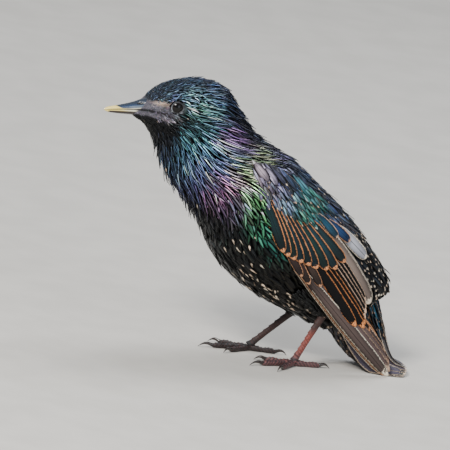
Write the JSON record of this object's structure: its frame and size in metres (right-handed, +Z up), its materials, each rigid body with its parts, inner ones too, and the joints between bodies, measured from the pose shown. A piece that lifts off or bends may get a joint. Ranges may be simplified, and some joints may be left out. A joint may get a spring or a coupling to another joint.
{
  "type": "starling",
  "caption": "Standing starling with folded wings, pointed bill, throat hackles and spread toes, a still life-size model.",
  "frame": {"origin": "centre of the footprint box on the floor plane that the soles stand on", "axes": "+Z up, -Y the way the bird faces, +X to the bird's left side"},
  "size_m": [0.0592, 0.1724, 0.1325],
  "materials": {
    "head_feathers": "blue-black glossy feathers",
    "neck_feathers": "narrow pointed feathers with blue, lilac and green sheen",
    "body_feathers": "black feathers with green sheen and buff spots",
    "wing_feathers": "dark blue-green feathers with buff edges, brown-grey flight feathers",
    "tail_feathers": "dark grey-brown feathers with pale edges",
    "thigh_feathers": "short black feathers with buff tips",
    "bill_upper": "blue-grey horn with a cream cutting edge",
    "bill_lower": "cream-yellow horn, dark below",
    "eye": "dark brown, wet gloss",
    "leg": "pinkish-brown scutes",
    "claw": "dark horn"
  },
  "bodies": {
    "root": {"head": "head_feathers", "neck": "neck_feathers", "torso": "body_feathers", "wing_left": "wing_feathers", "wing_right": "wing_feathers", "tail": "tail_feathers", "thigh_left": "thigh_feathers", "thigh_right": "thigh_feathers", "bill_upper": "bill_upper", "bill_lower": "bill_lower", "eye_left": "eye", "eye_right": "eye", "tarsus_left": "leg", "tarsus_right": "leg", "toe_inner_left": "leg", "claw_inner_left": "claw", "toe_middle_left": "leg", "claw_middle_left": "claw", "toe_outer_left": "leg", "claw_outer_left": "claw", "toe_hind_left": "leg", "claw_hind_left": "claw", "toe_inner_right": "leg", "claw_inner_right": "claw", "toe_middle_right": "leg", "claw_middle_right": "claw", "toe_outer_right": "leg", "claw_outer_right": "claw", "toe_hind_right": "leg", "claw_hind_right": "claw"}
  },
  "joints": []
}
